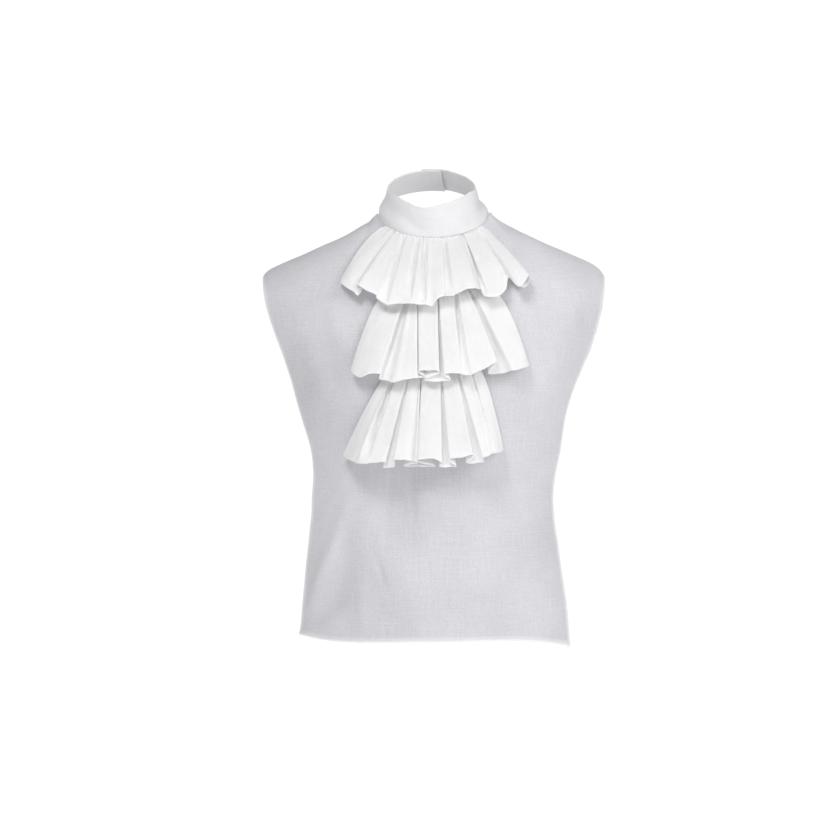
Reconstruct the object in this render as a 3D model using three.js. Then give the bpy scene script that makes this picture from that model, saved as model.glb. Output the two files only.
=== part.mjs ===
// A jabot: three gathered ruffles that fall from a stand-up collar, over a sheer bib that covers the chest.
// Lengths are in millimetres and angles in degrees. +Z is up, the wearer faces -Y, and +X is on the right
// in a front view. The origin is the centre of the neck, level with the sides of the collar's seam.
import * as THREE from 'three';

// Cloth
const bibWall = 1.2;
const bibHemWall = 2.0; // the bib's edge is turned over once
const bibHemWidth = 6;
const ruffleWall = 1.2;
const collarWall = 2.4; // doubled cloth
const seamGap = 0.35; // clearance between pieces that are sewn together

// Neck seam, where the bib and the top ruffle meet the collar: an ellipse that is lower at the throat
const neckTilt = 26.5;
const neckHalfWidth = 74;
const neckHalfDepth = 78;

// Collar
const collarRise = 33.7; // from the centre of the seam up to the centre of the top edge
const collarLean = 12; // how far forward the top edge's centre lies
const collarShift = -3; // how far to the right it lies
const collarTopHalfWidth = 59.5;
const collarTopHalfDepth = 62;
const collarHollow = 1.6; // how far the middle of the band is drawn in
const collarLap = 32; // overlap of the two ends at the back
const collarColumns = 66;
const collarRows = 5;
const dentFade = 0.3; // share of the height, from the seam up, over which the dents begin

// Fastening patch between the collar's ends
const patchWall = 1;
const patchWidth = 22;
const patchColumns = 4;
const patchRows = [2 / 3, 1 / 3]; // its upper and lower edge, as shares of the collar's height

// Bib
const shoulderHalfWidth = 232.5;
const shoulderDrop = 85; // from the collar's sides down to the shoulder points
const bibLength = 578; // from the collar's sides down to the hem
const chestDepth = 127; // from the neck's centre forward to the fullest part of the chest
const shoulderTurn = 9; // how far past the shoulder's ridge the cloth reaches
const bodySquareness = 2.2; // 2 is an ellipse, more is squarer
const bibColumns = 38; // an even number, without the two narrow columns of the hem
const bibYokeRows = 7; // over the shoulders and the top of the chest
const bibBodyRows = 16; // from there to the hem
const neckShare = 8 / 19; // share of the columns that end at the neck seam
const throatFlatness = 0.6; // how steeply the bib leaves the collar at the throat: 1 is straight down its slope
const ridgeFlatness = -0.12; // the same at the shoulders' ridge, which the bib passes over
const throatShare = 0.7; // share of the neck's half, from the throat, that keeps the throat's flatness

// The ridge of the shoulders, from the collar's side to the shoulder point.
// down: share of the shoulder's drop; left, right: share of the way out to the shoulder point
const shoulderLine = [
  { down: 0, left: 0, right: 0 },
  { down: 0.15, left: 0.13, right: 0.15 },
  { down: 0.29, left: 0.23, right: 0.29 },
  { down: 0.44, left: 0.39, right: 0.43 },
  { down: 0.62, left: 0.6, right: 0.66 },
  { down: 0.77, left: 0.81, right: 0.87 },
  { down: 0.9, left: 0.955, right: 0.975 },
  { down: 1, left: 1, right: 1 },
];

// The bib's side edges, from the shoulder point to the hem.
// down: share of that height; left, right: share of the shoulder's half width; wrap: angle round the body
const sideEdge = [
  { down: 0, left: 1, right: 1, wrap: 70 },
  { down: 0.085, left: 0.975, right: 0.98, wrap: 70 },
  { down: 0.175, left: 0.905, right: 0.93, wrap: 71 },
  { down: 0.27, left: 0.84, right: 0.845, wrap: 72 },
  { down: 0.385, left: 0.775, right: 0.757, wrap: 73 },
  { down: 0.465, left: 0.718, right: 0.745, wrap: 73 },
  { down: 0.52, left: 0.697, right: 0.712, wrap: 72 },
  { down: 0.61, left: 0.705, right: 0.687, wrap: 71 },
  { down: 0.77, left: 0.738, right: 0.73, wrap: 70 },
  { down: 0.9, left: 0.765, right: 0.772, wrap: 70 },
  { down: 1, left: 0.78, right: 0.79, wrap: 70 },
];

// The front seen from the side, from the throat to the hem.
// down: share of that height; out: share of the way from the throat forward to the chest
const frontProfile = [
  { down: 0, out: 0 },
  { down: 0.034, out: 0.29 },
  { down: 0.08, out: 0.55 },
  { down: 0.13, out: 0.73 },
  { down: 0.21, out: 0.89 },
  { down: 0.3, out: 0.98 },
  { down: 0.36, out: 1 },
  { down: 0.45, out: 0.96 },
  { down: 0.56, out: 0.82 },
  { down: 0.66, out: 0.71 },
  { down: 0.8, out: 0.69 },
  { down: 1, out: 0.77 },
];

// The hem hangs a little lower on the right. across: share of the half width; drop: share of the bib's length
const hemLine = [
  { across: -1, drop: 0.985 },
  { across: -0.55, drop: 1 },
  { across: 0, drop: 1 },
  { across: 0.5, drop: 0.998 },
  { across: 1, drop: 1.013 },
];

// Soft slanting folds of the bib. across: share of the shoulder's half width; down: share of the bib's length;
// long, wide, deep: half length, half width and height in shares of the bib's length; slant: angle from upright
const bibFolds = [
  { across: -0.6, down: 0.86, long: 0.14, wide: 0.03, deep: 0.006, slant: 14 },
  { across: -0.72, down: 0.74, long: 0.12, wide: 0.03, deep: -0.005, slant: 16 },
  { across: -0.4, down: 0.92, long: 0.09, wide: 0.035, deep: 0.004, slant: -4 },
  { across: 0.62, down: 0.8, long: 0.14, wide: 0.035, deep: 0.004, slant: -9 },
];

// The collar's top edge dips at the throat, a little to the left, and stands higher beside it.
// turn: angle round the neck from the throat; lift: share of the collar's rise
const collarEdge = [
  { turn: -180, lift: 0 },
  { turn: -90, lift: 0 },
  { turn: -51, lift: 0.175 },
  { turn: -34, lift: 0.11 },
  { turn: -20, lift: 0.01 },
  { turn: -10, lift: -0.015 },
  { turn: 0, lift: 0.035 },
  { turn: 17, lift: 0.14 },
  { turn: 39, lift: 0.23 },
  { turn: 59, lift: 0.25 },
  { turn: 90, lift: 0.05 },
  { turn: 180, lift: 0 },
];

// Soft dents and bulges of the collar. turn: angle round the neck from the throat; up: share of the height;
// wide, tall: angle and share; deep: in collar walls
const collarDents = [
  { turn: -24, up: 0.47, wide: 16, tall: 0.2, deep: 0.6 },
  { turn: -60, up: 0.62, wide: 24, tall: 0.2, deep: 0.7 },
  { turn: -84, up: 0.24, wide: 28, tall: 0.26, deep: -1.5 },
  { turn: 92, up: 0.36, wide: 32, tall: 0.32, deep: 1.8 },
  { turn: 122, up: 0.5, wide: 20, tall: 0.6, deep: 0.4 },
];

// Ruffles
const topRuffleAngle = 61; // how far round the neck the top ruffle is sewn in, to each side
const topRuffleHem = 129; // half the hem's width
const topRuffleDrop = 90;
const middleRuffleHead = 75; // half the heading's width
const middleRuffleHem = 120;
const middleRuffleDrop = 123;
const bottomRuffleHead = 68;
const bottomRuffleHem = 108;
const bottomRuffleDrop = 137;
const ruffleLap = 21; // how far a ruffle's hem covers the next one's heading
const headingSlope = 2.5; // the headings are sewn on a little higher on the right
const ruffleStand = 17; // depth of the pleats at the hem
const headingPleat = 3; // depth of the gathers at a sewn-down heading
const hemLift = 12; // how far a pleat's inner fold stands off the bib at the hem
const pleatGrowth = 0.8; // how a pleat's depth grows on its way down: below 1 it grows early
const pleatGap = 2; // half the mouth of a pleat at the heading
const pleatLip = 1.8; // how far a pleat's rounded lip reaches to each side of its mouth
const ruffleLevels = [0, 0.05, 0.13, 0.25, 0.45, 0.65, 0.85, 1]; // rows of a ruffle, as shares of its drop

// A pleat's section, from its left lip to its right. atHead, atFoot: sideways, in half mouths; lips: sideways,
// in lips; level: 0 at the inner fold and 1 at the crest
const pleatSection = [
  { atHead: -1, atFoot: -1, lips: -1, level: 1 },
  { atHead: -1, atFoot: -1, lips: 0, level: 0.65 },
  { atHead: -0.5, atFoot: -1.25, lips: 0, level: 0 },
  { atHead: 0.5, atFoot: 1.25, lips: 0, level: 0 },
  { atHead: 1, atFoot: 1, lips: 0, level: 0.65 },
  { atHead: 1, atFoot: 1, lips: 1, level: 1 },
];

// A row for each crest and pleat of a ruffle, from left to right. A pleat is a narrow fold that turns in.
// head, foot: place across the heading and the hem, in shares of their half widths; drop: share of the
// ruffle's drop; rise: share of the pleats' depth; mouth: half width of a pleat at the hem, in pleat lips
const topFolds = [
  { head: -1, foot: -0.99, drop: 0.68, rise: 0.3 },
  { head: -0.9, foot: -0.94, drop: 0.75, rise: 0.75 },
  { head: -0.83, foot: -0.87, drop: 0.82, rise: 0.85 },
  { head: -0.72, foot: -0.775, drop: 0.82, rise: 0, mouth: 1.6 },
  { head: -0.62, foot: -0.63, drop: 0.84, rise: 1 },
  { head: -0.53, foot: -0.48, drop: 0.97, rise: 0, mouth: 1.9 },
  { head: -0.4, foot: -0.36, drop: 0.985, rise: 1 },
  { head: -0.27, foot: -0.238, drop: 0.99, rise: 0, mouth: 1.1 },
  { head: -0.2, foot: -0.17, drop: 1, rise: 0.95 },
  { head: -0.12, foot: -0.1, drop: 1.01, rise: 0.1, mouth: 1.1 },
  { head: 0.03, foot: 0, drop: 0.99, rise: 1 },
  { head: 0.165, foot: 0.11, drop: 0.89, rise: 0, mouth: 1.2 },
  { head: 0.29, foot: 0.26, drop: 0.83, rise: 1 },
  { head: 0.41, foot: 0.43, drop: 0.76, rise: 0.35, mouth: 1.6 },
  { head: 0.5, foot: 0.58, drop: 0.88, rise: 1 },
  { head: 0.62, foot: 0.745, drop: 0.74, rise: 0, mouth: 1.6 },
  { head: 0.76, foot: 0.86, drop: 0.73, rise: 0.95 },
  { head: 0.88, foot: 0.955, drop: 0.71, rise: 0.9 },
  { head: 1, foot: 1, drop: 0.66, rise: 0.3 },
];
const middleFolds = [
  { head: -1.02, foot: -0.93, drop: 0.89, rise: 0.3 },
  { head: -0.93, foot: -0.88, drop: 0.935, rise: 0.75 },
  { head: -0.76, foot: -0.76, drop: 0.955, rise: 0.95 },
  { head: -0.535, foot: -0.54, drop: 0.94, rise: 0, mouth: 2 },
  { head: -0.41, foot: -0.38, drop: 1.01, rise: 1 },
  { head: -0.285, foot: -0.18, drop: 0.968, rise: 0, mouth: 1.1 },
  { head: -0.11, foot: -0.045, drop: 0.986, rise: 1 },
  { head: 0.068, foot: 0.079, drop: 0.968, rise: 0, mouth: 1.2 },
  { head: 0.215, foot: 0.2, drop: 0.93, rise: 1 },
  { head: 0.36, foot: 0.32, drop: 0.935, rise: 0, mouth: 1.4 },
  { head: 0.486, foot: 0.5, drop: 0.908, rise: 1 },
  { head: 0.62, foot: 0.69, drop: 0.845, rise: 0, mouth: 1.7 },
  { head: 0.78, foot: 0.85, drop: 0.908, rise: 0.95 },
  { head: 0.92, foot: 1, drop: 0.872, rise: 0.8 },
  { head: 1.03, foot: 1.06, drop: 0.844, rise: 0.3 },
];
const bottomFolds = [
  { head: -1.05, foot: -1.13, drop: 0.895, rise: 0.3 },
  { head: -0.95, foot: -1.07, drop: 0.935, rise: 0.75 },
  { head: -0.78, foot: -0.86, drop: 0.968, rise: 0.95 },
  { head: -0.53, foot: -0.54, drop: 0.96, rise: 0, mouth: 2.2 },
  { head: -0.4, foot: -0.38, drop: 0.963, rise: 1 },
  { head: -0.25, foot: -0.215, drop: 0.977, rise: 0, mouth: 1.2 },
  { head: -0.06, foot: -0.035, drop: 1, rise: 1 },
  { head: 0.125, foot: 0.15, drop: 0.982, rise: 0, mouth: 2 },
  { head: 0.3, foot: 0.34, drop: 0.931, rise: 1 },
  { head: 0.47, foot: 0.535, drop: 0.936, rise: 0, mouth: 2.1 },
  { head: 0.68, foot: 0.7, drop: 0.908, rise: 0.95 },
  { head: 0.85, foot: 0.82, drop: 0.871, rise: 0.75 },
  { head: 0.95, foot: 0.87, drop: 0.849, rise: 0.3 },
];

// Values worked out from the sizes
const tolerance = 1e-6; // for comparing places
const throatDrop = neckHalfDepth * Math.sin(radians(neckTilt)); // from the seam's sides down to its front
const throatDepth = neckHalfDepth * Math.cos(radians(neckTilt)); // from the neck's centre to the seam's front
const sewnOffset = bibWall / 2 + seamGap + ruffleWall / 2; // between the middles of bib and ruffle
const lapAngle = degrees(collarLap / 2 / neckHalfWidth); // half the angle that the collar's ends overlap
const bib = bibLayer();
const lapOffset = (collarWall + patchWall + 2 * seamGap) / backSteepness(); // between the overlapping ends

// General functions
function radians(angle) {
  return (angle * Math.PI) / 180;
}

function degrees(angle) {
  return (angle * 180) / Math.PI;
}

function mix(from, to, share) {
  return from + (to - from) * share;
}

function ease(share) {
  const inside = Math.min(Math.max(share, 0), 1);
  return inside * inside * (3 - 2 * inside);
}

// A column of a table, as a smooth curve through its rows
function readTable(rows, key, column, place) {
  const last = rows.length - 1;
  const inside = Math.min(Math.max(place, rows[0][key]), rows[last][key]);
  let i = 0;
  while (i < last - 1 && inside > rows[i + 1][key]) i += 1;
  const slope = (a, b) => (rows[b][column] - rows[a][column]) / (rows[b][key] - rows[a][key]);
  const startSlope = i === 0 ? slope(0, 1) : slope(i - 1, i + 1);
  const endSlope = i === last - 1 ? slope(last - 1, last) : slope(i, i + 2);
  const width = rows[i + 1][key] - rows[i][key];
  const t = (inside - rows[i][key]) / width;
  const start = rows[i][column];
  const rise = rows[i + 1][column] - start;
  const bend = (1 - t) * (startSlope * width - rise) - t * (endSlope * width - rise);
  return start + t * rise + t * (1 - t) * bend;
}

// A power that keeps the sign of its base
function signedPower(base, power) {
  return Math.sign(base) * Math.abs(base) ** power;
}

// A closed body of cloth round a grid of points: its two faces lie half a wall to each side of the grid.
// seamNormal gives the wall's direction where a row is sewn into the neck seam, and nothing elsewhere.
function clothBody(grid, wallAt, seamNormal) {
  const rows = grid.length;
  const columns = grid[0].length;
  const positions = [];
  const point = (r, c) => grid[Math.min(Math.max(r, 0), rows - 1)][Math.min(Math.max(c, 0), columns - 1)];
  for (const side of [1, -1]) {
    for (let r = 0; r < rows; r += 1) {
      for (let c = 0; c < columns; c += 1) {
        const along = point(r, c + 1).clone().sub(point(r, c - 1));
        const down = point(r + 1, c).clone().sub(point(r - 1, c));
        const across = down.cross(along).normalize();
        const normal = seamNormal?.(r, c) ?? across;
        const place = grid[r][c].clone().addScaledVector(normal, (side * wallAt(r, c)) / 2);
        positions.push(place.x, place.y, place.z);
      }
    }
  }
  const back = rows * columns;
  const front = (r, c) => r * columns + c;
  const faces = [];
  const quad = (a, b, c, d) => faces.push(a, b, c, a, c, d);
  for (let r = 0; r < rows - 1; r += 1) {
    for (let c = 0; c < columns - 1; c += 1) {
      quad(front(r, c), front(r + 1, c), front(r + 1, c + 1), front(r, c + 1));
      quad(back + front(r, c), back + front(r, c + 1), back + front(r + 1, c + 1), back + front(r + 1, c));
    }
  }
  for (let c = 0; c < columns - 1; c += 1) {
    quad(front(0, c), front(0, c + 1), back + front(0, c + 1), back + front(0, c));
    quad(front(rows - 1, c + 1), front(rows - 1, c), back + front(rows - 1, c), back + front(rows - 1, c + 1));
  }
  for (let r = 0; r < rows - 1; r += 1) {
    quad(front(r + 1, 0), front(r, 0), back + front(r, 0), back + front(r + 1, 0));
    quad(
      front(r, columns - 1),
      front(r + 1, columns - 1),
      back + front(r + 1, columns - 1),
      back + front(r, columns - 1),
    );
  }
  const geometry = new THREE.BufferGeometry();
  geometry.setAttribute('position', new THREE.Float32BufferAttribute(positions, 3));
  geometry.setIndex(faces);
  return geometry;
}

// Neck and collar

// A point of an ellipse in the tilted plane of the neck; turn 0 is the throat, and 90 the right side
function neckRing(turn, halfWidth, halfDepth) {
  const forward = -halfDepth * Math.cos(radians(turn));
  return new THREE.Vector3(
    halfWidth * Math.sin(radians(turn)),
    forward * Math.cos(radians(neckTilt)),
    forward * Math.sin(radians(neckTilt)),
  );
}

// The direction out of the neck, in the same plane
function neckOutward(turn) {
  const forward = -Math.cos(radians(turn)) / neckHalfDepth;
  return new THREE.Vector3(
    Math.sin(radians(turn)) / neckHalfWidth,
    forward * Math.cos(radians(neckTilt)),
    forward * Math.sin(radians(neckTilt)),
  ).normalize();
}

// A point of the collar's top edge
function collarTop(turn) {
  const top = neckRing(turn, collarTopHalfWidth, collarTopHalfDepth);
  top.x += collarShift;
  top.y -= collarLean;
  top.z += collarRise * (1 + readTable(collarEdge, 'turn', 'lift', turn));
  return top;
}

// The share of a step out of the neck that is square to the slanting band at the back
function backSteepness() {
  const band = collarTop(180).sub(neckRing(180, neckHalfWidth, neckHalfDepth)).normalize();
  return Math.sqrt(1 - band.dot(neckOutward(180)) ** 2);
}

// A point of the collar's middle layer, from its seam at up = 0 to its top edge at up = 1
function collarPoint(turn, up, offset) {
  const seam = neckRing(turn, neckHalfWidth, neckHalfDepth);
  seam.addScaledVector(neckOutward(turn), (seamGap + ruffleWall) / 2);
  seam.y -= seamGap * Math.sin(radians(neckTilt));
  seam.z += seamGap * Math.cos(radians(neckTilt));
  let hollow = 4 * collarHollow * up * (1 - up);
  for (const dent of collarDents) {
    const sideways = (turn - dent.turn) / dent.wide;
    const upward = (up - dent.up) / dent.tall;
    hollow += dent.deep * collarWall * Math.exp(-sideways * sideways - upward * upward) * ease(up / dentFade);
  }
  return seam.lerp(collarTop(turn), up).addScaledVector(neckOutward(turn), offset - hollow);
}

// How far out the collar lies at a turn: one end laps over the other at the back
function collarLapAt(turn) {
  return lapOffset * ease((turn - (180 - 3 * lapAngle)) / (2 * lapAngle));
}

function collarBand() {
  const reach = 180 + lapAngle;
  const grid = [];
  for (let r = 0; r <= collarRows; r += 1) {
    const row = [];
    for (let c = 0; c <= collarColumns; c += 1) {
      const turn = mix(-reach, reach, c / collarColumns);
      row.push(collarPoint(turn, 1 - r / collarRows, collarLapAt(turn)));
    }
    grid.push(row);
  }
  const seamNormal = (r, c) => (r === collarRows ? neckOutward(mix(-reach, reach, c / collarColumns)) : null);
  return clothBody(grid, () => collarWall, seamNormal);
}

function collarClosure() {
  const halfAngle = degrees(patchWidth / 2 / neckHalfWidth);
  const grid = [];
  for (const up of patchRows) {
    const row = [];
    for (let c = 0; c <= patchColumns; c += 1) {
      const turn = 180 + mix(-halfAngle, halfAngle, c / patchColumns);
      row.push(collarPoint(turn, up, lapOffset / 2));
    }
    grid.push(row);
  }
  return clothBody(grid, () => patchWall);
}

// Bib

// The bib's middle layer on the body, below the shoulders. around runs from -1 at the left edge to 1
function bodyPoint(around, z) {
  const down = (-z - shoulderDrop) / (bibLength - shoulderDrop);
  const fromThroat = (-z - throatDrop) / (bibLength - throatDrop);
  const edge = shoulderHalfWidth * readTable(sideEdge, 'down', around < 0 ? 'left' : 'right', down);
  const depth = mix(throatDepth, chestDepth, readTable(frontProfile, 'down', 'out', fromThroat));
  const wrap = radians(readTable(sideEdge, 'down', 'wrap', down));
  const power = 2 / bodySquareness;
  const x = edge * signedPower(Math.sin(around * wrap) / Math.sin(wrap), power);
  const y = -depth * Math.cos(around * wrap) ** power;
  return new THREE.Vector3(x, y - foldHeight(x, z), z);
}

// Height of the bib's soft folds
function foldHeight(x, z) {
  let height = 0;
  for (const fold of bibFolds) {
    const sideways = x - fold.across * shoulderHalfWidth;
    const upward = z + fold.down * bibLength;
    const tilt = radians(fold.slant);
    const along = (upward * Math.cos(tilt) + sideways * Math.sin(tilt)) / (fold.long * bibLength);
    const across = (sideways * Math.cos(tilt) - upward * Math.sin(tilt)) / (fold.wide * bibLength);
    height += fold.deep * bibLength * Math.exp(-along * along - across * across);
  }
  return height;
}

// The bib's top edge: the neck seam in the middle, and just behind the shoulders' ridge outside it
function bibTop(around) {
  const outward = (Math.abs(around) - neckShare) / (1 - neckShare);
  if (outward < tolerance) return neckRing((90 * around) / neckShare, neckHalfWidth, neckHalfDepth);
  const side = around < 0 ? 'left' : 'right';
  let low = 0;
  let high = 1;
  for (let i = 0; i < 30; i += 1) {
    const middle = (low + high) / 2;
    if (readTable(shoulderLine, 'down', side, middle) < outward) low = middle;
    else high = middle;
  }
  const x = Math.sign(around) * mix(neckHalfWidth, shoulderHalfWidth, outward);
  return new THREE.Vector3(x, shoulderTurn * ease(2 * outward), -shoulderDrop * low);
}

// The bib's middle layer above the body: a smooth curve from the top edge down to where the chest begins
function yokePoint(around, share) {
  const top = bibTop(around);
  const bottomZ = -shoulderDrop - throatDrop;
  const bottom = bodyPoint(around, bottomZ);
  const reach = top.distanceTo(bottom) / 3;
  const leave = bottom.clone().sub(top);
  leave.z *= mix(throatFlatness, ridgeFlatness, ease(Math.abs(around) / neckShare - throatShare));
  const arrive = bodyPoint(around, bottomZ - 1).sub(bottom);
  const bend = new THREE.CubicBezierCurve3(
    top,
    top.clone().addScaledVector(leave.normalize(), reach),
    bottom.clone().addScaledVector(arrive.normalize(), -reach),
    bottom,
  );
  return bend.getPoint(share);
}

function bibLayer() {
  const hemShare = bibHemWidth / bibLength;
  const half = bibColumns / 2;
  const across = [-1, 1];
  for (let c = -half; c <= half; c += 1) across.push(c / half);
  across[2] = 2 * hemShare - 1;
  across[across.length - 1] = 1 - 2 * hemShare;
  across.sort((a, b) => a - b);
  const down = [];
  for (let r = 0; r < bibBodyRows; r += 1) down.push(r / bibBodyRows);
  down.push(1 - hemShare, 1);
  const grid = [];
  for (let r = 0; r < bibYokeRows; r += 1) grid.push(across.map((u) => yokePoint(u, r / bibYokeRows)));
  for (const share of down) {
    const hemAt = (u) => -bibLength * readTable(hemLine, 'across', 'drop', u);
    grid.push(across.map((u) => bodyPoint(u, mix(-shoulderDrop - throatDrop, hemAt(u), share))));
  }
  return { across, grid };
}

function bibPanel() {
  const lastRow = bib.grid.length - 1;
  const lastColumn = bib.across.length - 1;
  const wallAt = (r, c) => (r >= lastRow - 1 || c <= 1 || c >= lastColumn - 1 ? bibHemWall : bibWall);
  const seamNormal = (r, c) => {
    const turn = (90 * bib.across[c]) / neckShare;
    return r === 0 && Math.abs(turn) < 90 + tolerance ? neckOutward(turn) : null;
  };
  return clothBody(bib.grid, wallAt, seamNormal);
}

// The middle layer's y, from a place in the front view
function bibFront(x, z) {
  let front = Infinity;
  for (let r = 0; r < bib.grid.length - 1; r += 1) {
    for (let c = 0; c < bib.across.length - 1; c += 1) {
      const [a, b, d, e] = [bib.grid[r][c], bib.grid[r + 1][c], bib.grid[r + 1][c + 1], bib.grid[r][c + 1]];
      front = Math.min(front, triangleFront(a, b, d, x, z), triangleFront(a, d, e, x, z));
    }
  }
  return front;
}

// A triangle's y at a place in the front view, or infinity if it doesn't cover that place
function triangleFront(a, b, c, x, z) {
  const area = (b.x - a.x) * (c.z - a.z) - (c.x - a.x) * (b.z - a.z);
  const atB = ((x - a.x) * (c.z - a.z) - (c.x - a.x) * (z - a.z)) / area;
  const atC = ((b.x - a.x) * (z - a.z) - (x - a.x) * (b.z - a.z)) / area;
  if (!(atB >= -tolerance && atC >= -tolerance && atB + atC <= 1 + tolerance)) return Infinity;
  return a.y + atB * (b.y - a.y) + atC * (c.y - a.y);
}

// A point that lies at a distance in front of the bib's middle layer, seen at x and z in the front view
function beforeBib(x, z, distance) {
  const step = 1.5;
  const slopeX = (bibFront(x + step, z) - bibFront(x - step, z)) / (2 * step);
  const slopeZ = (bibFront(x, z + step) - bibFront(x, z - step)) / (2 * step);
  return new THREE.Vector3(x, bibFront(x, z) - distance * Math.hypot(1, slopeX, slopeZ), z);
}

// Ruffles

// The points across a ruffle: one for a crest, and six for a pleat, which turns in behind its lips
function ruffleKnots(folds) {
  return folds.flatMap((fold) => {
    if (!fold.mouth) return [{ ...fold, level: fold.rise }];
    return pleatSection.map((place) => ({ ...fold, ...place, level: mix(fold.rise, 1, place.level) }));
  });
}

function ruffle({ folds, start, drop, headHalf, hemHalf, flare, sewnToNeck }) {
  const knots = ruffleKnots(folds);
  const neckTurn = (knot) => knot.head * topRuffleAngle;
  const placeAt = (knot, v) => {
    const mouth = knot.mouth ? mix(pleatGap, knot.mouth * pleatLip, v) : 0;
    const aside = knot.mouth ? mouth * mix(knot.atHead, knot.atFoot, v) + knot.lips * pleatLip : 0;
    const seam = neckRing(neckTurn(knot) + degrees(aside / neckHalfWidth), neckHalfWidth, neckHalfDepth);
    if (sewnToNeck && v === 0) return seam.addScaledVector(neckOutward(neckTurn(knot)), sewnOffset);
    const headX = sewnToNeck ? seam.x : knot.head * headHalf + aside;
    const headZ = sewnToNeck ? seam.z : headX * Math.tan(radians(headingSlope)) - throatDrop - start;
    const footX = knot.foot * hemHalf + aside;
    const footZ = -throatDrop - start - drop * knot.drop;
    const spread = v ** mix(1, flare, knot.head * knot.head);
    const depth = mix(sewnToNeck ? 0 : headingPleat, ruffleStand, v ** pleatGrowth);
    const distance = sewnOffset + hemLift * v * v + knot.level * depth;
    return beforeBib(mix(headX, footX, spread), mix(headZ, footZ, v), distance);
  };
  const grid = ruffleLevels.map((v) => knots.map((knot) => placeAt(knot, v)));
  const seamNormal = (r, c) => (sewnToNeck && r === 0 ? neckOutward(neckTurn(knots[c])) : null);
  return clothBody(grid, () => ruffleWall, seamNormal);
}

// The whole jabot. flare: below 1, a ruffle's sides spread early on their way down
const topRuffle = {
  folds: topFolds,
  start: 0,
  drop: topRuffleDrop,
  hemHalf: topRuffleHem,
  flare: 0.68,
  sewnToNeck: true,
};
const middleRuffle = {
  folds: middleFolds,
  start: topRuffleDrop - ruffleLap,
  drop: middleRuffleDrop,
  headHalf: middleRuffleHead,
  hemHalf: middleRuffleHem,
  flare: 0.6,
};
const bottomRuffle = {
  folds: bottomFolds,
  start: middleRuffle.start + middleRuffleDrop - ruffleLap,
  drop: bottomRuffleDrop,
  headHalf: bottomRuffleHead,
  hemHalf: bottomRuffleHem,
  flare: 0.75,
};
const pieces = [
  { name: 'collar_band', colour: 0xececf0, geometry: collarBand() },
  { name: 'collar_closure', colour: 0xe4e4e8, geometry: collarClosure() },
  { name: 'bib_panel', colour: 0xdcdce4, geometry: bibPanel() },
  { name: 'ruffle_top', colour: 0xf8f8fa, geometry: ruffle(topRuffle) },
  { name: 'ruffle_middle', colour: 0xf8f8fa, geometry: ruffle(middleRuffle) },
  { name: 'ruffle_bottom', colour: 0xf8f8fa, geometry: ruffle(bottomRuffle) },
];

const jabot = new THREE.Group();
for (const piece of pieces) {
  const material = new THREE.MeshStandardMaterial({ color: piece.colour, roughness: 0.9, metalness: 0 });
  const mesh = new THREE.Mesh(piece.geometry, material);
  mesh.name = piece.name;
  jabot.add(mesh);
}
export default jabot;
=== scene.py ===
# %% [markdown]
# # A jabot with three ruffles
# A jabot is a fall of ruffles worn at the throat. This one has a stand-up collar, three gathered ruffles
# and a sheer bib that they are sewn to. The solids of the frame give every piece its place and size.
# This lesson makes the cloth that stands for them: fine sheets with folds, gathers, hems, stitches and
# frayed threads, and a finish for each kind of cloth.

# %% Load the frame
import math
import random
from collections import namedtuple

import bmesh
import bpy
from mathutils import Matrix, Vector, noise
from mathutils.bvhtree import BVHTree
from mathutils.interpolate import poly_3d_calc
from mathutils.kdtree import KDTree


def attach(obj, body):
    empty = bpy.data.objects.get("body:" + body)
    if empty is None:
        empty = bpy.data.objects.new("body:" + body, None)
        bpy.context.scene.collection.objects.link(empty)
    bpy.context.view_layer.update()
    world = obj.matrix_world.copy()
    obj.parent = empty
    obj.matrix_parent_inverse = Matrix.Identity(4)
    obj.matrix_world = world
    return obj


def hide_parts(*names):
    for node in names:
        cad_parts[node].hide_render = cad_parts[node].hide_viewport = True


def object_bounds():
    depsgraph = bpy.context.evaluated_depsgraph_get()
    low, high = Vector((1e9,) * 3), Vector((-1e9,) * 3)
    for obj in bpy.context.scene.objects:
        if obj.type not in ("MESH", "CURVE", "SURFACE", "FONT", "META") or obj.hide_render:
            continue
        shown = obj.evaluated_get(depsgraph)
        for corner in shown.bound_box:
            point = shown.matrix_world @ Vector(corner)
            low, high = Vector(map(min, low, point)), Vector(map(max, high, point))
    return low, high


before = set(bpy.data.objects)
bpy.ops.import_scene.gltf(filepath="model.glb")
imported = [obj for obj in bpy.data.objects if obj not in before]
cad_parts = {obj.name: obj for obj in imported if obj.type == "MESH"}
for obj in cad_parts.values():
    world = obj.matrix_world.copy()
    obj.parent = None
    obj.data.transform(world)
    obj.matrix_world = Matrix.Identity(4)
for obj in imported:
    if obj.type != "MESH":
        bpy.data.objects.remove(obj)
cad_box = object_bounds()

print("nodes:", sorted(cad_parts))
print("box:", cad_box)

# %% [markdown]
# Lengths are in metres. The wearer faces -Y, +Z is up, and the origin is the centre of the neck, level
# with the sides of the collar's seam. A few driving sizes set the neck and the collar, as they do on a
# paper pattern: the seam and the top edge are two ellipses in planes that tilt down towards the throat.

# %% Driving sizes
mm = 0.001
neck_tilt = math.radians(26.5)
neck_half_width = 74 * mm
neck_half_depth = 78 * mm
throat_drop = neck_half_depth * math.sin(neck_tilt)
seam_up = Vector((0, -math.sin(neck_tilt), math.cos(neck_tilt)))
cloth_wall = 0.5 * mm
hem_wall = 1.1 * mm  # a hem is two layers thick
sewn_offset = 1.6 * mm  # a ruffle's cloth lies this far in front of the bib at its seam
seam_gap = 0.8 * mm  # the collar and the top ruffle are sewn on this far outside the neck's ellipse

# %% [markdown]
# Every sheet of cloth here starts as a flat grid, as it starts as a flat cut on the table. A formula then
# moves each point of the grid to where the cloth hangs. This keeps the grid's own layout, so the weave
# can follow the threads of the flat cut through every fold. Tables of folds are read as smooth curves.

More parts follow.
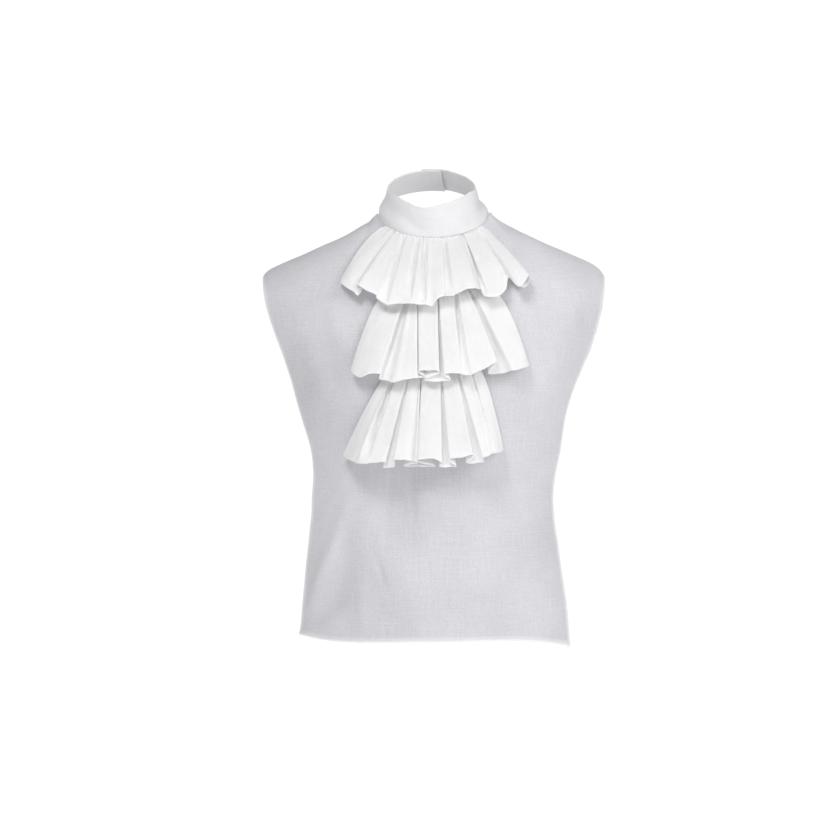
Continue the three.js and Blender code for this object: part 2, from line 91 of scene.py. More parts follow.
# %% Helpers for curves and cloth
def mix(start, end, share):
    return start + (end - start) * share


def ease(share):
    inside = min(max(share, 0), 1)
    return inside * inside * (3 - 2 * inside)


def along_rows(rows, place):
    """A smooth curve through rows of numbers, read at a place that is counted in rows."""
    last = len(rows) - 1
    i = min(int(place), last - 1)
    t = place - i
    before = rows[max(i - 1, 0)]
    after = rows[min(i + 2, last)]
    found = []
    for a, b, c, d in zip(before, rows[i], rows[i + 1], after):
        bend = 2 * a - 5 * b + 4 * c - d
        twist = 3 * (b - c) + d - a
        found.append(b + t / 2 * (c - a + t * (bend + t * twist)))
    return found


def read_table(rows, key):
    """A smooth curve through pairs of numbers, read at a key."""
    key = min(max(key, rows[0][0]), rows[-1][0])
    i = 0
    while i < len(rows) - 2 and key > rows[i + 1][0]:
        i += 1
    share = (key - rows[i][0]) / (rows[i + 1][0] - rows[i][0])
    return mix(rows[i][1], rows[i + 1][1], ease(share) / 2 + share / 2)


def cloth_grid(columns, rows, place, flat, hem_at):
    """A sheet of cloth of the size flat. place moves a point, and hem_at says how much of a hem it is."""
    bm = bmesh.new()
    bmesh.ops.create_grid(bm, x_segments=columns, y_segments=rows, size=0.5)
    weave = bm.loops.layers.uv.new("cloth")
    hems = bm.verts.layers.deform.verify()
    for face in bm.faces:
        for loop in face.loops:
            across, down = loop.vert.co.x + 0.5, 0.5 - loop.vert.co.y
            loop[weave].uv = (across * flat[0], down * flat[1])
    for vert in bm.verts:
        across, down = vert.co.x + 0.5, 0.5 - vert.co.y
        vert[hems][0] = hem_at(across, down)
        vert.co = place(across, down)
    return bm


def make_mesh(name, bm):
    mesh = bpy.data.meshes.new(name)
    bm.to_mesh(mesh)
    bm.free()
    return mesh


def add_to_scene(name, data):
    made = bpy.data.objects.new(name, data)
    bpy.context.scene.collection.objects.link(made)
    return made


def hang_piece(name, bm, finish, slot):
    """Makes an object of a mesh, smooth and riding on the jabot."""
    mesh = make_mesh(name, bm)
    mesh.shade_smooth()
    mesh.materials.append(finish)
    piece = add_to_scene(name, mesh)
    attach(piece, "root")
    print(name, len(mesh.vertices), "points")
    return piece


def give_thickness(piece):
    """Gives a sheet of cloth its thickness, with thicker hems."""
    piece.vertex_groups.new(name="hem")
    wall = piece.modifiers.new("wall", "SOLIDIFY")
    wall.thickness = hem_wall
    wall.offset = 0
    wall.vertex_group = "hem"
    wall.thickness_vertex_group = cloth_wall / hem_wall
    return piece


# %% [markdown]
# Three finishes cover the cloth: crisp white cotton for the ruffles, the same cotton doubled for the
# collar, and a sheer voile for the bib, which looks cooler and greyer. A photograph of cloth could be
# wrapped round the pieces, but a weave made from nodes stays sharp at any distance. Two crossed waves
# on the flat cut's own layout are the warp and the weft. Stretched noise makes some threads thicker,
# which shows as faint streaks in the colour, and soft patches vary the tone.

# %% Node helper and cloth finish
def add_node(tree, kind, sockets):
    node = tree.nodes.new(kind)
    for socket, value in sockets.items():
        if isinstance(value, bpy.types.NodeSocket):
            tree.links.new(value, node.inputs[socket])
        else:
            node.inputs[socket].default_value = value
    return node


def streaks(tree, layout, long, thin):
    """Noise that is stretched along one direction of the cloth, for uneven threads."""
    stretched = add_node(tree, "ShaderNodeMapping", {"Vector": layout, "Scale": (1 / long, 1 / thin, 1)})
    return add_node(tree, "ShaderNodeTexNoise", {"Vector": stretched.outputs[0], "Scale": 1, "Detail": 2})


def noise_share(tree, place, size, detail):
    sockets = {"Vector": place, "Scale": 1 / size, "Detail": detail}
    return add_node(tree, "ShaderNodeTexNoise", sockets).outputs["Fac"]


def new_finish(name, surface):
    """A material whose shader has the values of surface in its sockets."""
    material = bpy.data.materials.new(name)
    material.use_nodes = True
    shader = material.node_tree.nodes["Principled BSDF"]
    for socket, value in surface.items():
        shader.inputs[socket].default_value = value
    return material, material.node_tree, shader


def cloth_finish(name, dark, light, doubled, pitch, relief, sheen, sheer, patch_size, patch_share):
    """Woven cloth. Its colour runs from dark to light with its threads, grain and soft patches, and is
    mixed with doubled where the cloth is turned over. sheer is how much light goes into the cloth."""
    surface = {
        "Roughness": 0.85,
        "Specular IOR Level": 0.2,
        "Sheen Weight": sheen,
        "Sheen Roughness": 0.5,
        "Subsurface Weight": sheer,
        "Subsurface Radius": (1, 1, 1),
        "Subsurface Scale": 1.5 * mm,
    }
    material, tree, shader = new_finish(name, surface)
    layout = add_node(tree, "ShaderNodeUVMap", {})
    layout.uv_map = "cloth"
    layout = layout.outputs[0]
    wave_scale = 2 * math.pi / (20 * pitch)  # a wave texture turns by 20 radians in each unit
    threads = []
    for direction in "XY":
        sockets = {"Vector": layout, "Scale": wave_scale, "Distortion": 0.6}
        wave = add_node(tree, "ShaderNodeTexWave", sockets)
        wave.bands_direction = direction
        threads.append(wave.outputs["Fac"])
    weave = add_node(tree, "ShaderNodeMath", {0: threads[0], 1: threads[1]})
    long, thin = 60 * pitch, 2 * pitch  # how far a thicker thread runs, and how thick it is
    warp = streaks(tree, layout, long, thin)
    weft = streaks(tree, layout, thin, long)
    slubs = add_node(tree, "ShaderNodeMath", {0: warp.outputs["Fac"], 1: weft.outputs["Fac"]})
    height = add_node(tree, "ShaderNodeMath", {0: weave.outputs[0], 1: slubs.outputs[0]})
    sockets = {"Height": height.outputs[0], "Distance": relief, "Strength": 0.5}
    bump = add_node(tree, "ShaderNodeBump", sockets)
    tree.links.new(bump.outputs[0], shader.inputs["Normal"])
    place = add_node(tree, "ShaderNodeTexCoord", {}).outputs["Object"]
    half_slubs = add_node(tree, "ShaderNodeMath", {0: slubs.outputs[0], 1: 0.5})
    half_slubs.operation = "MULTIPLY"
    grain = noise_share(tree, place, 1.7 * mm, detail=3)
    fine = add_node(tree, "ShaderNodeMix", {"Factor": 0.5, "A": half_slubs.outputs[0], "B": grain})
    patch = noise_share(tree, place, patch_size, detail=2)
    tone = add_node(tree, "ShaderNodeMix", {"Factor": patch_share, "A": fine.outputs[0], "B": patch})
    ramp = add_node(tree, "ShaderNodeValToRGB", {"Fac": tone.outputs[0]})
    ramp.color_ramp.elements[0].position = 0.3
    ramp.color_ramp.elements[0].color = (*dark, 1)
    ramp.color_ramp.elements[1].position = 0.7
    ramp.color_ramp.elements[1].color = (*light, 1)
    layers = add_node(tree, "ShaderNodeAttribute", {})
    layers.attribute_name = "doubled"
    turned = add_node(tree, "ShaderNodeMix", {"Factor": layers.outputs["Fac"]})
    turned.data_type = "RGBA"
    tree.links.new(ramp.outputs[0], turned.inputs["A"])
    turned.inputs["B"].default_value = (*doubled, 1)
    tree.links.new(turned.outputs["Result"], shader.inputs["Base Color"])
    return material


cotton = {
    "pitch": 0.55 * mm,
    "relief": 0.05 * mm,
    "sheen": 0.15,
    "sheer": 0.35,
    "patch_size": 30 * mm,
    "patch_share": 0.35,
}
ruffle_cotton = cloth_finish(
    "ruffle_cotton",
    dark=(0.85, 0.85, 0.86),
    light=(0.955, 0.955, 0.96),
    doubled=(0.93, 0.93, 0.935),
    **cotton,
)
collar_cotton = cloth_finish(
    "collar_cotton",
    dark=(0.74, 0.74, 0.755),
    light=(0.86, 0.86, 0.875),
    doubled=(0.92, 0.92, 0.93),
    **cotton,
)
bib_voile = cloth_finish(
    "bib_voile",
    dark=(0.52, 0.52, 0.55),
    light=(0.78, 0.78, 0.815),
    doubled=(0.93, 0.93, 0.94),
    pitch=0.7 * mm,
    relief=0.04 * mm,
    sheen=0.1,
    sheer=0.3,
    patch_size=110 * mm,
    patch_share=0.28,
)

# %% Plain finish for thread and the patch
def thread_finish(name, colour, grain):
    """Spun thread, or dense tape: fine noise for its fibres, on the object's own coordinates."""
    material, tree, shader = new_finish(name, {"Roughness": 0.8, "Sheen Weight": 0.2})
    place = add_node(tree, "ShaderNodeTexCoord", {}).outputs["Object"]
    fibres = noise_share(tree, place, grain, detail=4)
    ramp = add_node(tree, "ShaderNodeValToRGB", {"Fac": fibres})
    shade = 0.85  # of the colour, between the fibres
    ramp.color_ramp.elements[0].color = (*(shade * part for part in colour), 1)
    ramp.color_ramp.elements[1].color = (*colour, 1)
    tree.links.new(ramp.outputs[0], shader.inputs["Base Color"])
    bump = add_node(tree, "ShaderNodeBump", {"Height": fibres, "Distance": 0.1 * mm})
    tree.links.new(bump.outputs[0], shader.inputs["Normal"])
    return material


white_thread = thread_finish("white_thread", colour=(0.92, 0.92, 0.93), grain=0.4 * mm)
closure_tape = thread_finish("closure_tape", colour=(0.84, 0.84, 0.86), grain=0.8 * mm)
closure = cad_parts["collar_closure"]
closure.data.materials.clear()
closure.data.materials.append(closure_tape)
print("finishes:", [material.name for material in bpy.data.materials])

# %% [markdown]
# The bib is one panel of voile that hangs from the collar, lies over the shoulders and falls straight
# from the chest. It could be draped by simulation over a body, but the frame's solid already has the
# worn form, so the cloth is taken from it: a copy of the solid is merged, its rim and inner side are
# deleted, its triangles are joined to four-sided faces, and a subdivision surface makes it smooth.

# %% Take the bib's outer side from the frame
rim_width = 2.2 * mm  # no edge of the sheet is as short as the solid's wall
body_middle = Vector((0.6, 60 * mm, -80 * mm))  # a point inside the body, as a share across and offsets


def is_outer(face):
    place = face.calc_center_median()
    inside = Vector((body_middle.x * place.x, body_middle.y, place.z + body_middle.z))
    return face.normal.dot(place - inside) > 0


def outer_side(node):
    bm = bmesh.new()
    bm.from_mesh(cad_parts[node].data)
    bmesh.ops.remove_doubles(bm, verts=bm.verts, dist=0.01 * mm)
    unwanted = []
    for face in bm.faces:
        shortest = min(edge.calc_length() for edge in face.edges)
        if shortest < rim_width or not is_outer(face):
            unwanted.append(face)
    bmesh.ops.delete(bm, geom=unwanted, context="FACES")
    bmesh.ops.join_triangles(
        bm, faces=bm.faces, angle_face_threshold=math.pi, angle_shape_threshold=math.pi
    )
    triangles = sum(len(face.verts) == 3 for face in bm.faces)
    print(node, len(bm.faces), "faces, of which triangles:", triangles)
    return bm


def subdivided(bm, levels):
    """A mesh under a subdivision surface that keeps its corners."""
    mesh = make_mesh("base", bm)
    base = add_to_scene("base", mesh)
    smooth = base.modifiers.new("smooth", "SUBSURF")
    smooth.levels = levels
    smooth.render_levels = levels
    smooth.boundary_smooth = "PRESERVE_CORNERS"
    fine = bmesh.new()
    fine.from_object(base, bpy.context.evaluated_depsgraph_get())
    bpy.data.objects.remove(base)
    bpy.data.meshes.remove(mesh)
    return fine


bib = subdivided(outer_side("bib_panel"), levels=2)
print("bib", len(bib.faces), "faces")

# %% [markdown]
# Cloth that hangs free is never quite smooth. Long soft ridges slant down from the ruffles and the arms,
# and a faint unevenness covers the rest. Each row of the table is one ridge or groove with soft sides,
# in millimetres and degrees.

# %% Fold the bib
Ridge = namedtuple("Ridge", "x z long wide deep slant")
bib_ridges = [
    Ridge(x=-118, z=-352, long=70, wide=8, deep=3, slant=33),
    Ridge(x=-150, z=-395, long=60, wide=14, deep=-3, slant=28),
    Ridge(x=-143, z=-470, long=85, wide=9, deep=3.4, slant=17),
    Ridge(x=-124, z=-450, long=95, wide=18, deep=-3, slant=14),
    Ridge(x=-158, z=-498, long=45, wide=6, deep=3, slant=20),
    Ridge(x=-140, z=-522, long=50, wide=17, deep=-7, slant=30),
    Ridge(x=-160, z=-562, long=30, wide=9, deep=4, slant=62),
    Ridge(x=-71, z=-482, long=22, wide=4, deep=-2, slant=-20),
    Ridge(x=-95, z=-545, long=40, wide=10, deep=1.6, slant=-3),
    Ridge(x=-50, z=-500, long=110, wide=60, deep=9, slant=4),
    Ridge(x=-50, z=-398, long=44, wide=34, deep=-14, slant=4),
    Ridge(x=-62, z=-360, long=44, wide=7, deep=-2.5, slant=2),
    Ridge(x=-30, z=-375, long=50, wide=6, deep=-2, slant=-2),
    Ridge(x=40, z=-470, long=130, wide=26, deep=1.8, slant=4),
    Ridge(x=128, z=-440, long=110, wide=20, deep=2, slant=-10),
    Ridge(x=-140, z=-200, long=90, wide=16, deep=-2, slant=-16),
    Ridge(x=-170, z=-190, long=90, wide=18, deep=2, slant=-20),
    Ridge(x=165, z=-190, long=90, wide=18, deep=1.8, slant=20),
    Ridge(x=88, z=-18, long=26, wide=5, deep=2.5, slant=-38),
    Ridge(x=76, z=-6, long=11, wide=5, deep=2, slant=15),
    Ridge(x=-78, z=-7, long=12, wide=6, deep=2, slant=-15),
    Ridge(x=-90, z=-12, long=22, wide=5, deep=-1.5, slant=10),
]


def ridge_height(ridge, place):
    slant = math.radians(ridge.slant)
    sideways, upward = place.x - ridge.x * mm, place.z - ridge.z * mm
    along = (upward * math.cos(slant) + sideways * math.sin(slant)) / (ridge.long * mm)
    across = (sideways * math.cos(slant) - upward * math.sin(slant)) / (ridge.wide * mm)
    return ridge.deep * mm * math.exp(-along * along - across * across)


def unevenness(place, size, height):
    return height * noise.noise(place / size)


def at_neck(place):
    """Whether a point of the edge is sewn to the collar."""
    ring = (place.x / neck_half_width) ** 2 + (place.z / throat_drop) ** 2
    just_outside = 1.1  # 1 is on the seam's ellipse
    return ring < just_outside and place.z < 1 * mm


neck_edge = {vert for vert in bib.verts if vert.is_boundary and at_neck(vert.co)}


def fold_bib(bm):
    inward = 0.35 * mm  # from the solid's outer side to the middle of the cloth
    into_collar = 2.6 * mm * seam_up  # up between the two sides of the collar
    moves = []
    for vert in bm.verts:
        rise = sum(ridge_height(ridge, vert.co) for ridge in bib_ridges)
        broad = unevenness(vert.co, size=70 * mm, height=1.5 * mm)
        fine = unevenness(vert.co, size=24 * mm, height=0.4 * mm)
        rise += broad + fine
        move = vert.normal * (rise - inward)
        if vert in neck_edge:
            move += into_collar
        moves.append(move)
    for vert, move in zip(bm.verts, moves):
        vert.co += move
    bm.normal_update()


fold_bib(bib)
bib_front = BVHTree.FromBMesh(bib)
bib_faces = []
for face in bib.faces:
    corners = [vert.co.copy() for vert in face.verts]
    normals = [vert.normal.copy() for vert in face.verts]
    bib_faces.append((corners, normals))
print("bib folded")

# %% [markdown]
# The bib's side and bottom edges are turned over once and stitched, so they are thicker. Its top edge
# goes into the collar's seam and has no hem. The weave runs straight down the front, so the layout of
# the flat cut is the place across, lengthened by the depth where the cloth turns round the body.

# %% Hem the bib
bib_hem = 5 * mm
bib_rim = 2 * mm  # the rolled edge itself, which shows whiter
hem_blend = 1.5 * mm  # over this width the hem thins out to single cloth
rim_blend = 1 * mm
hem_whiteness = 0.35  # 1 is as white as the rolled edge
straight_depth = 100 * mm  # cloth further in front than this hangs straight
straight_half_width = 90 * mm
Rim = namedtuple("Rim", "place along outward normal")


def free_edge(bm):
    """The points of the bib's edge that hang free, in order from one side of the neck to the other."""
    free = {vert for vert in bm.verts if vert.is_boundary} - neck_edge
    ends = [vert for vert in free if any(edge.other_vert(vert) in neck_edge for edge in vert.link_edges)]
    line = [min(ends, key=lambda vert: vert.co.x)]
    seen = set(line)
    while True:
        edges = [edge for edge in line[-1].link_edges if edge.is_boundary]
        steps = [edge.other_vert(line[-1]) for edge in edges]
        steps = [vert for vert in steps if vert in free and vert not in seen]
        if not steps:
            return line
        line.append(steps[0])
        seen.add(steps[0])


def rim_frames(line):
    """For each point of the edge: along it, out of the cloth and square to the cloth."""
    frames = []
    for i, vert in enumerate(line):
        along = (line[min(i + 1, len(line) - 1)].co - line[max(i - 1, 0)].co).normalized()
        outward = along.cross(vert.normal).normalized()
        around = [edge.other_vert(vert).co for edge in vert.link_edges]
        cloth = sum(around, Vector()) / len(around)
        if outward.dot(vert.co - cloth) < 0:
            outward.negate()
        frames.append(Rim(vert.co.copy(), along, outward, vert.normal.copy()))
    return frames


def hem_bib(bm, line):
    near = KDTree(len(line))
    for i, vert in enumerate(line):
        near.insert(vert.co, i)
    near.balance()
    hems = bm.verts.layers.deform.verify()
    doubled = bm.verts.layers.float.new("doubled")
    for vert in bm.verts:
        distance = near.find(vert.co)[2]
        hem = ease((bib_hem + hem_blend - distance) / hem_blend)
        rim = ease((bib_rim + rim_blend - distance) / rim_blend)
        vert[hems][0] = hem
        vert[doubled] = max(hem_whiteness * hem, rim)
    weave = bm.loops.layers.uv.new("cloth")
    for face in bm.faces:
        for loop in face.loops:
            place = loop.vert.co
            turned = max(place.y + straight_depth, 0)
            sideways = ease(abs(place.x) / straight_half_width)
            across = place.x + math.copysign(turned, place.x) * sideways
            loop[weave].uv = (across, place.z)


bib_line = free_edge(bib)
rims = rim_frames(bib_line)
hem_bib(bib, bib_line)
bib_area = sum(face.calc_area() for face in bib.faces)
bib_piece = give_thickness(hang_piece("bib_cloth", bib, bib_voile, "bib_voile"))
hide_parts("bib_panel")
print("bib area", round(bib_area, 4), "edge points", len(rims))

# %% [markdown]
# The bib's hem is held by a row of small stitches, and fine threads fray from its lower and left edges.
# Each stitch is a tiny rounded bead of thread, and each loose thread is a thin tube that curls as it
# goes. They are joined in a single mesh, because hundreds of separate objects would be slow.

# %% Stitches and loose threads
stitch_half_width = 0.3 * mm
stitch_half_height = 0.25 * mm


def add_stitch(bm, place, along, normal, half_length):
    side = normal.cross(along).normalized()
    turned = Matrix((along.normalized(), side, along.cross(side).normalized())).transposed().to_4x4()
    size = Matrix.Diagonal((half_length, stitch_half_width, stitch_half_height, 1))
    bmesh.ops.create_uvsphere(
        bm, u_segments=6, v_segments=4, radius=1, matrix=Matrix.Translation(place) @ turned @ size
    )


def even_spots(places, normals, pitch):
    """Spots at an even pitch along a line of points: their place, their direction and their normal."""
    spots = []
    left_over = pitch / 2
    for i in range(len(places) - 1):
        step = places[i + 1] - places[i]
        reached = left_over
        while reached < step.length:
            spots.append((places[i] + step * (reached / step.length), step, normals[i]))
            reached += pitch
        left_over = reached - step.length
    return spots


def stitch_line(bm, places, normals, pitch, half_length):
    """Stitches along a line of points. They are made in short runs, because a small mesh is quick."""
    spots = even_spots(places, normals, pitch)
    run_length = 25
    for start in range(0, len(spots), run_length):
        run = bmesh.new()
        for place, along, normal in spots[start : start + run_length]:
            add_stitch(run, place, along, normal, half_length)
        mesh = make_mesh("run", run)
        bm.from_mesh(mesh)
        bpy.data.meshes.remove(mesh)


def add_thread(bm, points, radius):
    """A thin tube through points that tapers to its end."""
    sides = 5
    askew = Vector((0.3, 0.5, 0.8))  # a direction that no thread follows
    steps = len(points) - 1
    made = bmesh.ops.create_grid(bm, x_segments=steps, y_segments=sides, size=0.5)["verts"]
    for vert in made:
        i = round((vert.co.x + 0.5) * steps)
        angle = 2 * math.pi * (vert.co.y + 0.5)
        ahead = points[min(i + 1, steps)] - points[max(i - 1, 0)]
        side = ahead.cross(askew).normalized()
        upright = ahead.cross(side).normalized()
        reach = radius * (1 - 0.5 * i / steps)
        vert.co = points[i] + reach * (math.cos(angle) * side + math.sin(angle) * upright)
    bmesh.ops.remove_doubles(bm, verts=made, dist=0.001 * mm)


def loose_thread(draw, start, direction, length, curl):
    """Points along a thread that leaves start and curls at random."""
    steps = 5
    points = [start.copy()]
    heading = direction.normalized()
    for _ in range(steps):
        heading = heading + curl * Vector((draw.uniform(-1, 1), draw.uniform(-1, 1), draw.uniform(-1, 1)))
        heading.normalize()
        points.append(points[-1] + heading * length / steps)
    return points


def thread_piece(name, bm, node):
    bmesh.ops.recalc_face_normals(bm, faces=bm.faces)
    piece = hang_piece(name, bm, white_thread, slot_of[node])
    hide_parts(node)
    return piece


slot_of = {
    "bib_panel": "bib_voile",
    "collar_band": "collar_cotton",
    "ruffle_middle": "ruffle_cotton",
    "ruffle_bottom": "ruffle_cotton",
}
bib_stitches = bmesh.new()
stitch_inset = 4 * mm
stitch_places = [rim.place - stitch_inset * rim.outward + 0.5 * hem_wall * rim.normal for rim in rims]
rim_normals = [rim.normal for rim in rims]
stitch_line(bib_stitches, stitch_places, rim_normals, pitch=3.4 * mm, half_length=0.9 * mm)
bib_stitch_piece = thread_piece("bib_hem_stitches", bib_stitches, "bib_panel")

draw = random.Random(5)
frays = bmesh.new()
corner_z = -560 * mm
side_frays_z = -330 * mm  # the side edge frays below this height
lower_rims = [rim for rim in rims if rim.place.z < corner_z]
left_rims = [rim for rim in rims if rim.place.x < 0 and corner_z < rim.place.z < side_frays_z]
for rim in draw.choices(lower_rims, k=90) + draw.choices(left_rims, k=40):
    lean = rim.outward + draw.uniform(-0.9, 0.9) * rim.along
    root = rim.place - 0.4 * mm * rim.outward + draw.uniform(-2, 2) * mm * rim.along
    points = loose_thread(draw, root, lean, draw.uniform(1.5, 5) * mm, curl=0.35)
    add_thread(frays, points, radius=0.16 * mm)
frays_piece = thread_piece("bib_frayed_threads", frays, "bib_panel")

# %% [markdown]
# The collar is a band of doubled cotton. Its outer side rises from the seam, folds over at the top edge
# and comes down again inside. A flat strip could be bent into a ring and simulated, but a worn collar
# is close to a plain cone with a few dents, so its section is a narrow loop that runs round the neck.
# The ends lap over each other at the back, with the fastening patch between them.

# %% Neck and collar shape
collar_rise = 33.7 * mm
collar_lean = 12 * mm
collar_shift = -3 * mm
collar_top_half_width = 59.5 * mm
collar_top_half_depth = 62 * mm
collar_wall = 2.3 * mm
collar_hollow = 1.6 * mm
collar_lap = 32 * mm
lap_offset = 4.2 * mm
lap_angle = math.degrees(collar_lap / 2 / neck_half_width)
collar_columns = 400
collar_side_rows = 24
collar_fold_rows = 6
collar_rows = 2 * collar_side_rows + collar_fold_rows
pucker_pitch = 3.6 * mm
pucker_depth = 0.5 * mm
pucker_reach = 1 / 8  # of the collar's height
Edge = namedtuple("Edge", "turn lift")
collar_edge = [
    Edge(turn=-180, lift=0),
    Edge(turn=-90, lift=0),
    Edge(turn=-51, lift=0.175),
    Edge(turn=-34, lift=0.11),
    Edge(turn=-20, lift=0.01),
    Edge(turn=-10, lift=-0.015),
    Edge(turn=0, lift=0.035),
    Edge(turn=17, lift=0.14),
    Edge(turn=39, lift=0.23),
    Edge(turn=59, lift=0.25),
    Edge(turn=90, lift=0.05),
    Edge(turn=180, lift=0),
]


def neck_ring(turn, half_width, half_depth):
    """A point of an ellipse round the neck. Turn 0 is the throat and 90 the right side."""
    forward = -half_depth * math.cos(math.radians(turn))
    across = half_width * math.sin(math.radians(turn))
    return Vector((across, forward * math.cos(neck_tilt), forward * math.sin(neck_tilt)))


def neck_outward(turn):
    return neck_ring(turn, 1 / neck_half_width, 1 / neck_half_depth).normalized()


Dent = namedtuple("Dent", "turn up wide tall deep slant")
collar_dents = [
    Dent(turn=-24, up=0.32, wide=18, tall=0.24, deep=2.8 * mm, slant=0.0115),
    Dent(turn=-60, up=0.54, wide=24, tall=0.2, deep=1.4 * mm, slant=0.004),
    Dent(turn=-50, up=0.22, wide=24, tall=0.17, deep=-1.8 * mm, slant=0.005),
    Dent(turn=-84, up=0.24, wide=28, tall=0.22, deep=-3 * mm, slant=0),
    Dent(turn=10, up=0.85, wide=30, tall=0.1, deep=0.5 * mm, slant=0.003),
    Dent(turn=46, up=0.6, wide=13, tall=0.5, deep=0.6 * mm, slant=-0.015),
    Dent(turn=92, up=0.36, wide=32, tall=0.3, deep=4.3 * mm, slant=0),
    Dent(turn=122, up=0.5, wide=20, tall=0.5, deep=1 * mm, slant=0.01),
    Dent(turn=-135, up=0.5, wide=20, tall=0.5, deep=1 * mm, slant=-0.01),
]


def collar_point(turn, up, offset):
    """A point of the collar, from its seam at up = 0 to its top edge at up = 1."""
    seam = neck_ring(turn, neck_half_width, neck_half_depth) + seam_gap * neck_outward(turn)
    top_edge = neck_ring(turn, collar_top_half_width, collar_top_half_depth)
    top_edge += Vector((collar_shift, -collar_lean, collar_rise * (1 + read_table(collar_edge, turn))))
    hollow = 4 * collar_hollow * up * (1 - up)
    for dent in collar_dents:
        sideways = (turn - dent.turn) / dent.wide
        upward = (up - dent.up + dent.slant * (turn - dent.turn)) / dent.tall
        hollow += dent.deep * math.exp(-sideways * sideways - upward * upward) * ease(up / 0.3)
    lapped = lap_offset * ease((turn - (180 - 3 * lap_angle)) / (2 * lap_angle))
    return seam.lerp(top_edge, up) + (offset + lapped - hollow) * neck_outward(turn)


def pucker(turn, pitch):
    """Fine, uneven puckers along a gathered seam, from 0 to 1."""
    steps = turn * math.pi / 180 * neck_half_width / pitch
    drift = 1.5 * noise.noise(Vector((steps / 3, 7, 0)))
    return 0.5 + 0.5 * math.sin(2 * math.pi * (steps + drift))


def collar_section(row):
    """How far up, to which side and how far over the fold a row of the collar's section lies."""
    if row <= collar_side_rows:
        return row / collar_side_rows, 0.5, 0
    if row < collar_side_rows + collar_fold_rows:
        angle = math.pi * (row - collar_side_rows) / collar_fold_rows
        return 1, 0.5 * math.cos(angle), 0.5 * math.sin(angle)
    return (collar_rows - row) / collar_side_rows, -0.5, 0


def collar_place(across, down):
    """The two sides meet where the band is sewn shut: along its seam and at its ends."""
    up, side, over = collar_section(round((1 - down) * collar_rows))
    reach = 180 + lap_angle
    turn = mix(-reach, reach, across)
    if up == 0 or across in (0, 1):
        side = over = 0
    pinch = pucker_depth * pucker(turn, pucker_pitch) * ease(1 - up / pucker_reach)
    point = collar_point(turn, up, side * collar_wall - pinch)
    wobble = unevenness(point, size=14 * mm, height=0.3 * mm)
    return point + over * collar_wall * seam_up + wobble * neck_outward(turn)


collar_flat = (465 * mm, 38 * mm)  # the band is made up double, and this is its size before it is worn
collar = cloth_grid(collar_columns, collar_rows, collar_place, collar_flat, lambda across, down: 0)
bmesh.ops.remove_doubles(collar, verts=collar.verts, dist=0.01 * mm)
bmesh.ops.recalc_face_normals(collar, faces=collar.faces)
print("collar open edges:", sum(edge.is_boundary for edge in collar.edges))
collar_piece = hang_piece("collar_cloth", collar, collar_cotton, "collar_cotton")
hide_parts("collar_band")

# %% Stitch the collar's seam
seam_stitches = bmesh.new()
seam_turns = [mix(-178, 178, i / 360) for i in range(361)]
stitch_up = 0.075  # share of the collar's height
seam_places = [collar_point(turn, stitch_up, 0.5 * collar_wall) for turn in seam_turns]
seam_normals = [neck_outward(turn) for turn in seam_turns]
stitch_line(seam_stitches, seam_places, seam_normals, pitch=3 * mm, half_length=0.8 * mm)
seam_stitch_piece = thread_piece("collar_seam_stitches", seam_stitches, "collar_band")

# %% [markdown]
# A ruffle is a straight strip of cotton, gathered to about a third of its width along the heading and
# left free at the hem. Simulated gathers fall anywhere, and these have to fall as on the real jabot, so
# each fold is a row of a table, from left to right. head and foot are its places across the heading and
# the hem, in shares of their half widths, and drops are shares of the ruffle's drop. A Crest is a point
# of a panel, with its height as a share of the pleats' depth. A Pleat is a narrow mouth with cloth that
# turns in behind both panels: mouth is half its width, left and right are how far the cloth reaches
# behind them. A Tuck turns under on one side only: one panel ends in a sharp edge and the other slopes
# gently down to it. side is 1 when the sharp edge is on the tuck's right, soft is the slope's width and
# under is how far it runs beneath the edge. Widths are shares of the pleats' depth. So are depth, at the
# hem, and head_depth, at the heading. A head_depth above 1 holds a tuck down on the bib for some way,
# because no cloth goes below lowest_level, and a depth below 0 lets it stand out at the hem.

